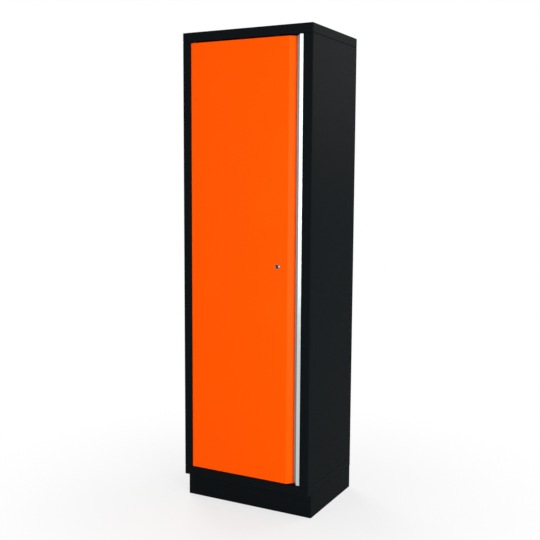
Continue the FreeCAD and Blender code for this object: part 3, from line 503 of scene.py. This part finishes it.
class CABINET_OT_pull(Operator):
    """Extrude the aluminium pull, with its crowned lip, beaded edge and finger grooves"""

    bl_idname = "cabinet.pull"
    bl_label = "Aluminium pull"

    # Radii of the inner fillets, the lip's outer corner and the bead on its edge, and their steps
    FILLET = 0.8 * MM
    FILLET_STEPS = 4
    CORNER = 0.2 * MM
    CORNER_STEPS = 6
    BEAD = 1.15 * MM
    BEAD_STEPS = 8
    CROWN_STEPS = 12

    def execute(self, context):
        size = context.scene.cabinet_detail
        low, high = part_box("handle_profile")
        wall, crown = size.pull_wall, size.pull_crown
        fillet, corner, bead = self.FILLET, self.CORNER, self.BEAD
        right, front, rear = high.x, low.y, high.y
        web = rear - wall
        tip = right - size.pull_lip + bead
        round_corner = (right - corner, front + crown + corner)
        outline = arc(round_corner, corner, 270, 360, self.CORNER_STEPS)
        outline += [(right, rear), (low.x, rear), (low.x, web)]
        inside = len(outline)
        groove = low.x + size.pull_pitch
        deep = size.pull_groove
        while groove < right - wall - size.pull_pitch:
            outline += [(groove - deep, web), (groove, web + deep), (groove + deep, web)]
            groove += size.pull_pitch
        inner = right - wall - fillet
        outline += arc((inner, web - fillet), fillet, 90, 0, self.FILLET_STEPS)
        outline += arc((inner, front + wall + fillet), fillet, 0, -90, self.FILLET_STEPS)
        outline += [(tip + 2 * bead, front + wall)]
        outside = len(outline)
        outline += arc((tip, front + crown + bead), bead, 90, 270, self.BEAD_STEPS)
        middle, half = (tip + right - corner) / 2, (right - corner - tip) / 2
        for i in range(1, self.CROWN_STEPS):
            across = -1 + 2 * i / self.CROWN_STEPS
            outline.append((middle + half * across, front + crown * across**2))
        bm = bmesh.new()
        points = [Vector((x, y, low.z)) for x, y in outline]
        faces = bar(bm, points, Vector((0, 0, high.z - low.z)))
        # Faces inside the channel take the darker matt grey, which paints the shade of the recess behind the lip
        for face in faces[inside:outside]:
            face.material_index = 1
        made = settle("pull_extrusion", bm, "door", "anodised_aluminium", "handle_profile")
        made.data.materials.append(finish("matt_grip"))
        return {"FINISHED"}


class CABINET_OT_lock_bezel(Operator):
    """Turn the lock's chromed bezel and threaded barrel"""

    bl_idname = "cabinet.lock_bezel"
    bl_label = "Lock bezel"

    PLUG_PLAY = 0.06 * MM
    BARREL_RADIUS = 8.0 * MM
    THREAD_DEPTH = 0.45 * MM
    CHAMFER = 0.5 * MM
    EDGE = 0.4 * MM

    # Slope of the crowned face in degrees, where it leaves its flat ring and at its rim
    SLOPE_RING = 34.0
    SLOPE_RIM = 46.0
    CROWN_STEPS = 5

    def execute(self, context):
        pitch = context.scene.cabinet_detail.thread_pitch
        low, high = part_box("lock_housing")
        plug_low, plug_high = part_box("lock_plug")
        chamfer, edge, barrel = self.CHAMFER, self.EDGE, self.BARREL_RADIUS
        bore = (plug_high.x - plug_low.x) / 2 + self.PLUG_PLAY
        rim = (high.x - low.x) / 2
        face = low.y - LOCK.y
        tail = high.y - LOCK.y
        ring_slope, rim_slope = math.radians(self.SLOPE_RING), math.radians(self.SLOPE_RIM)
        crown = (-edge - face) / (math.cos(ring_slope) - math.cos(rim_slope))
        centre = (face + crown * math.cos(ring_slope), rim - crown * math.sin(rim_slope))
        crowned = arc(centre, crown, 180 - self.SLOPE_RING, 180 - self.SLOPE_RIM, self.CROWN_STEPS)
        profile = [(bore, face + chamfer), (bore + chamfer, face)]
        profile += [(radius, depth) for depth, radius in crowned]
        profile += [(rim - chamfer, 0.0), (barrel, 0.0)]
        depth = 2 * pitch
        while depth < tail - pitch:
            profile += [(barrel, depth), (barrel - self.THREAD_DEPTH, depth + pitch / 2)]
            depth += pitch
        profile += [(barrel, tail - edge), (barrel - edge, tail), (bore, tail)]
        bm = bmesh.new()
        spin(bm, profile, LOCK)
        settle("lock_bezel", bm, "door", "chrome", "lock_housing")
        return {"FINISHED"}


class CABINET_OT_lock_plug(Operator):
    """Cut the lock's plug, with its keyway and square tail"""

    bl_idname = "cabinet.lock_plug"
    bl_label = "Lock plug"

    # Right and left flanks of the keyway in millimetres, upward, with the wards that guide the key
    RIGHT = ((0.8, -3.8), (0.8, -1.2), (0.25, -0.9), (0.25, 0.1), (0.8, 0.4), (0.8, 3.8))
    LEFT = ((-0.8, -3.8), (-0.8, 0.6), (-0.3, 0.9), (-0.3, 1.6), (-0.8, 1.9), (-0.8, 3.8))
    KEYWAY_DEPTH = 8.0 * MM
    CHAMFER = 0.35 * MM
    TAIL_HALF = 3.4 * MM
    TAIL_ROOT = 1.0 * MM

    def execute(self, context):
        low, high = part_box("lock_plug")
        radius = (high.x - low.x) / 2
        face = low.y - LOCK.y
        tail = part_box("lock_housing")[1].y - LOCK.y
        bm = bmesh.new()

        def loop(points, depth):
            return [bm.verts.new(LOCK + Vector((x, depth, z))) for x, z in points]

        def ring(reach, depth):
            angles = [math.tau * i / ROUND_STEPS for i in range(ROUND_STEPS)]
            return loop([(reach * math.cos(a), reach * math.sin(a)) for a in angles], depth)

        end = ring(radius, tail)
        shoulder = ring(radius, face + self.CHAMFER)
        rim = ring(radius - self.CHAMFER, face)
        bridge(bm, end, shoulder)
        bridge(bm, shoulder, rim)
        bm.faces.new(end)
        keyway = [(x * MM, z * MM) for x, z in self.RIGHT + self.LEFT[::-1]]
        mouth = loop(keyway, face)
        bottom = loop(keyway, face + self.KEYWAY_DEPTH)
        bridge(bm, mouth, bottom)
        bm.faces.new(bottom)
        edges = [bm.edges.get((a[i - 1], a[i])) for a in (rim, mouth) for i in range(len(a))]
        bmesh.ops.triangle_fill(bm, edges=edges, use_beauty=True)
        half = self.TAIL_HALF
        root = tail - self.TAIL_ROOT
        corners = ((-half, -half), (half, -half), (half, half), (-half, half))
        square = [LOCK + Vector((x, root, z)) for x, z in corners]
        bar(bm, square, Vector((0, high.y - LOCK.y - root, 0)))
        settle("lock_plug_face", bm, "lock_core", "dark_nickel", "lock_plug")
        return {"FINISHED"}


class CABINET_OT_lock_nut(Operator):
    """Form the lock's chamfered nut and its washer"""

    bl_idname = "cabinet.lock_nut"
    bl_label = "Lock nut"

    NUT_STEPS = 96
    HOLE_RADIUS = 8.1 * MM
    SHOULDER = 0.7 * MM
    WASHER_RADIUS = 12.0 * MM
    WASHER_EDGE = 0.2 * MM
    WASHER_GAP = 0.02 * MM

    # Radius that the nut's ends are turned to, as a factor of half its size across the flats
    TURNED = 1.03

    def execute(self, context):
        low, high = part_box("lock_nut")
        flat = (high.z - low.z) / 2
        seat, top = low.y - LOCK.y, high.y - LOCK.y
        under = seat + context.scene.cabinet_detail.washer
        hole, shoulder = self.HOLE_RADIUS, self.SHOULDER

        def hexagon(angle):
            return flat / math.cos((angle + math.pi / 6) % (math.pi / 3) - math.pi / 6)

        def turned(angle):
            return min(hexagon(angle), flat * self.TURNED)

        nut = [
            (hole, under),
            (turned, under),
            (hexagon, under + shoulder),
            (hexagon, top - shoulder),
            (turned, top),
            (hole, top),
        ]
        rim, edge = self.WASHER_RADIUS, self.WASHER_EDGE
        lid = under - self.WASHER_GAP
        washer = [
            (hole, seat),
            (rim - edge, seat),
            (rim, seat + edge),
            (rim, under - edge),
            (rim - edge, lid),
            (hole, lid),
        ]
        bm = bmesh.new()
        spin(bm, nut, LOCK, self.NUT_STEPS)
        spin(bm, washer, LOCK)
        settle("lock_nut_and_washer", bm, "door", "zinc_plated_steel", "lock_nut")
        return {"FINISHED"}


class CABINET_OT_stud_clips(Operator):
    """Snap a spring clip on each of the cam's studs, behind the rods' feet"""

    bl_idname = "cabinet.stud_clips"
    bl_label = "Stud clips"

    # Distance of a stud from the cam's limits, and of a clip from the stud's end, and its radii
    STUD_INSET = 4.5 * MM
    SETBACK = 0.4 * MM
    OUTER = 4.4 * MM
    INNER = 3.3 * MM
    TOOTH = 2.52 * MM

    # Half of the arc that a clip covers, then the arcs of its inside, from end to end in degrees
    COVER = 145
    INSIDE = (
        (145, 110, TOOTH),
        (105, 20, INNER),
        (15, -15, TOOTH),
        (-20, -105, INNER),
        (-110, -145, TOOTH),
    )
    OUTER_STEPS = 30
    INSIDE_STEPS = 6

    def execute(self, context):
        sheet = context.scene.cabinet_detail.clip_sheet
        low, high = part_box("lock_cam")
        inset = self.STUD_INSET
        back = high.y - self.SETBACK
        bm = bmesh.new()
        for x, z in ((low.x + inset, low.z + inset), (high.x - inset, high.z - inset)):
            outline = arc((x, z), self.OUTER, -self.COVER, self.COVER, self.OUTER_STEPS)
            for first, last, reach in self.INSIDE:
                outline += arc((x, z), reach, first, last, self.INSIDE_STEPS)
            bar(bm, [Vector((px, back - sheet, pz)) for px, pz in outline], Vector((0, sheet, 0)))
        settle("stud_clips", bm, "lock_core", "zinc_plated_steel")
        return {"FINISHED"}


class CABINET_OT_spot_welds(Operator):
    """Mark the spot welds on the door's stiffener feet and rod guides"""

    bl_idname = "cabinet.spot_welds"
    bl_label = "Spot welds"

    FOOT_MIDDLE = 7.0 * MM
    GUIDE_FROM_LOCK = 70.0 * MM
    GUIDE_BASE = 22.0 * MM
    GUIDE_MARK = 13.0 * MM
    GUIDE_SPREAD = 8.0 * MM

    # Section of a mark: share of its radius, and height over the sheet in millimetres
    CRATER = ((0, -0.1), (1, -0.1), (1, 0.02), (0.8, 0.28), (0.62, 0.22), (0.45, 0.06), (0, 0.04))
    CRATER_STEPS = 24

    def places(self, spacing):
        """Centres of the marks, on the inner faces of the welded sheets."""
        low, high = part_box("door_stiffener")
        face = low.y + DOOR_SHEET
        count = int((high.z - low.z) / spacing)
        gap = (high.z - low.z) / count
        for x in (low.x + self.FOOT_MIDDLE, high.x - self.FOOT_MIDDLE):
            for i in range(count):
                yield Vector((x, face, low.z + gap * (i + 0.5)))
        guide_low, guide_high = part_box("rod_guides")
        feet = {
            "upper_rod": (LOCK.z + self.GUIDE_FROM_LOCK, guide_high.z - self.GUIDE_BASE),
            "lower_rod": (LOCK.z - self.GUIDE_FROM_LOCK, guide_low.z),
        }
        for rod, heights in feet.items():
            rod_low, rod_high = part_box(rod)
            middle = (rod_low.x + rod_high.x) / 2
            for height in heights:
                for x in (middle - self.GUIDE_SPREAD, middle + self.GUIDE_SPREAD):
                    yield Vector((x, guide_low.y + GUIDE_SHEET, height + self.GUIDE_MARK))

    def execute(self, context):
        size = context.scene.cabinet_detail
        crater = [(share * size.weld_spot / 2, rise * MM) for share, rise in self.CRATER]
        bm = bmesh.new()
        for place in self.places(size.weld_spacing):
            spin(bm, crater, place, self.CRATER_STEPS)
        settle("spot_weld_marks", bm, "door", "orange_powder_coat")
        return {"FINISHED"}


class CABINET_OT_weld_beads(Operator):
    """Lay the rippled weld beads that hold the uprights to the side walls"""

    bl_idname = "cabinet.weld_beads"
    bl_label = "Weld beads"

    RINGS = 16
    RIPPLES = 7
    RIPPLE_DEPTH = 0.1
    FACETS = 5

    # Share of its full leg that a bead starts with, and how fast it gains the rest along its run
    END_SHARE = 0.35
    END_SLOPE = 5

    def bead(self, bm, corner, inward, outward, leg, run):
        """One fillet bead in an upright corner, rippled along and tapering at its ends."""
        sections = []
        for ring in range(self.RINGS + 1):
            share = ring / self.RINGS
            taper = min(1.0, self.END_SHARE + self.END_SLOPE * min(share, 1 - share))
            ripple = self.RIPPLE_DEPTH * math.cos(math.tau * self.RIPPLES * share)
            reach = leg * taper * (1 - self.RIPPLE_DEPTH + ripple)
            centre = corner + Vector((0, 0, run * (share - 0.5)))
            section = [bm.verts.new(centre)]
            for facet in range(self.FACETS):
                angle = math.pi / 2 * facet / (self.FACETS - 1)
                way = inward * math.cos(angle) + outward * math.sin(angle)
                section.append(bm.verts.new(centre + way * reach))
            sections.append(section)
        for one, two in zip(sections, sections[1:]):
            bridge(bm, one, two)
        bm.faces.new(sections[0])
        bm.faces.new(sections[-1][::-1])

    def execute(self, context):
        size = context.scene.cabinet_detail
        bm = bmesh.new()
        for name in UPRIGHTS:
            low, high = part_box(name)
            side = math.copysign(1, low.x + high.x)
            wall = high.x if side > 0 else low.x
            gap = (high.z - low.z) / size.bead_count
            for edge, outward in ((low.y, -1), (high.y, 1)):
                for i in range(size.bead_count):
                    corner = Vector((wall, edge, low.z + gap * (i + 0.5)))
                    ways = Vector((-side, 0, 0)), Vector((0, outward, 0))
                    self.bead(bm, corner, *ways, size.bead_leg, size.bead_length)
        settle("upright_weld_beads", bm, "carcass", "black_powder_coat")
        return {"FINISHED"}


def seen(tree):
    """Share that is 1 where the camera, a mirror image or a view through glass sees a surface."""
    path = add(tree, "ShaderNodeLightPath").outputs
    total = path["Is Camera Ray"]
    for way in ("Is Glossy Ray", "Is Transmission Ray"):
        either = add(tree, "ShaderNodeMath", {"operation": "MAXIMUM"}, {0: total, 1: path[way]})
        total = either.outputs[0]
    return total


class CABINET_OT_stage(Operator):
    """Set the pale floor, the soft studio light and the photograph's camera"""

    bl_idname = "cabinet.stage"
    bl_label = "Studio"

    # Share of plain white in the floor at the cabinet's foot, which leaves the rest to its shadow
    FLOOR_WHITE = 0.7
    FLOOR_PARTS = 8

    def floor(self, scene):
        """Pale floor that reads white to the camera, and keeps a soft shadow of the cabinet."""
        studio = scene.cabinet_stage
        parts = self.FLOOR_PARTS
        bm = bmesh.new()
        half = studio.floor_width / 2
        bmesh.ops.create_grid(bm, x_segments=parts, y_segments=parts, size=half)
        mesh = bpy.data.meshes.new("studio_floor")
        bm.to_mesh(mesh)
        bm.free()
        material, tree, output, place = start("studio_paper")
        matt = add(tree, "ShaderNodeBsdfDiffuse", None, {"Color": opaque(studio.floor_colour)})
        white = add(tree, "ShaderNodeEmission", None, {"Color": WHITE, "Strength": 1.0})
        away = add(tree, "ShaderNodeVectorMath", {"operation": "LENGTH"}, {0: place})
        blank = add(
            tree,
            "ShaderNodeMapRange",
            {"interpolation_type": "SMOOTHSTEP"},
            {
                "Value": away.outputs["Value"],
                "From Max": studio.floor_clear,
                "To Min": self.FLOOR_WHITE,
                "To Max": 1.0,
            },
        )
        share = add(
            tree,
            "ShaderNodeMath",
            {"operation": "MULTIPLY"},
            {0: seen(tree), 1: blank.outputs["Result"]},
        )
        mixed = add(
            tree,
            "ShaderNodeMixShader",
            None,
            {"Fac": share.outputs[0], 1: matt.outputs["BSDF"], 2: white.outputs["Emission"]},
        )
        tree.links.new(mixed.outputs["Shader"], output.inputs["Surface"])
        mesh.materials.append(material)
        ground = bpy.data.objects.new("studio_floor", mesh)
        scene.collection.objects.link(ground)

    def sky(self, scene):
        """Even light from all round, and a white background for the camera and for reflections."""
        world = bpy.data.worlds.new("studio_sky")
        world.use_nodes = True
        tree = world.node_tree
        tree.nodes.clear()
        ambient = scene.cabinet_stage.ambient
        light = add(tree, "ShaderNodeBackground", None, {"Color": WHITE, "Strength": ambient})
        white = add(tree, "ShaderNodeBackground", None, {"Color": WHITE, "Strength": 1.0})
        mixed = add(
            tree,
            "ShaderNodeMixShader",
            None,
            {"Fac": seen(tree), 1: light.outputs["Background"], 2: white.outputs["Background"]},
        )
        add(tree, "ShaderNodeOutputWorld", None, {"Surface": mixed.outputs["Shader"]})
        scene.world = world

    def lamp(self, scene, name, place, aim, size):
        """Softbox of a width and height, turned to a point."""
        data = bpy.data.lights.new(f"{name}_softbox", "AREA")
        data.shape = "RECTANGLE"
        data.size, data.size_y = size
        data.energy = getattr(scene.cabinet_stage, name)
        made = bpy.data.objects.new(data.name, data)
        made.location = place
        made.rotation_mode = "QUATERNION"
        made.rotation_quaternion = (aim - place).to_track_quat("-Z", "Y")
        scene.collection.objects.link(made)

    def camera(self, scene):
        """Camera at the photograph's place, with its slight roll."""
        turn, tilt, roll = CAMERA_TURN, CAMERA_TILT, CAMERA_ROLL
        ahead = math.cos(tilt)
        look = Vector((-math.sin(turn) * ahead, math.cos(turn) * ahead, -math.sin(tilt)))
        right = Vector((math.cos(turn), math.sin(turn), 0))
        up = right.cross(look)
        across = right * math.cos(roll) + up * math.sin(roll)
        upward = up * math.cos(roll) - right * math.sin(roll)
        data = bpy.data.cameras.new("photograph")
        data.lens = CAMERA_LENS
        data.sensor_width = CAMERA_SENSOR
        made = bpy.data.objects.new("photograph", data)
        axes = Matrix((across, upward, -look)).transposed().to_4x4()
        made.matrix_world = Matrix.Translation(CAMERA_PLACE) @ axes
        scene.collection.objects.link(made)
        scene.camera = made

    def execute(self, context):
        scene = context.scene
        self.floor(scene)
        self.sky(scene)
        for name, place, height, size in SOFTBOXES:
            self.lamp(scene, name, Vector(place), Vector((0, 0, height)), size)
        self.camera(scene)
        scene.view_settings.view_transform = "Standard"
        return {"FINISHED"}


OPERATORS = (
    CABINET_OT_solids,
    CABINET_OT_pull,
    CABINET_OT_lock_bezel,
    CABINET_OT_lock_plug,
    CABINET_OT_lock_nut,
    CABINET_OT_stud_clips,
    CABINET_OT_spot_welds,
    CABINET_OT_weld_beads,
    CABINET_OT_stage,
)

GROUPS = {
    "cabinet_finish": CabinetFinish,
    "cabinet_detail": CabinetDetail,
    "cabinet_stage": CabinetStage,
}


class CABINET_PT_sidebar(Panel):
    """Pieces of the cabinet, in the order in which they are made"""

    bl_label = "Cabinet"
    bl_idname = "CABINET_PT_sidebar"
    bl_space_type = "VIEW_3D"
    bl_region_type = "UI"
    bl_category = "Cabinet"

    def draw(self, context):
        for operator in OPERATORS:
            self.layout.operator(operator.bl_idname)
        for name in GROUPS:
            group = getattr(context.scene, name)
            box = self.layout.box()
            for entry in group.bl_rna.properties:
                if entry.identifier not in {"rna_type", "name"}:
                    box.prop(group, entry.identifier)


CLASSES = (*GROUPS.values(), *OPERATORS, CABINET_PT_sidebar)


def register():
    for each in CLASSES:
        bpy.utils.register_class(each)
    for name, group in GROUPS.items():
        setattr(bpy.types.Scene, name, PointerProperty(type=group))


def unregister():
    for name in GROUPS:
        delattr(bpy.types.Scene, name)
    for each in reversed(CLASSES):
        bpy.utils.unregister_class(each)


def main():
    """Make every piece in order."""
    register()
    for operator in OPERATORS:
        group, name = operator.bl_idname.split(".")
        getattr(getattr(bpy.ops, group), name)()


if __name__ == "__main__":
    main()
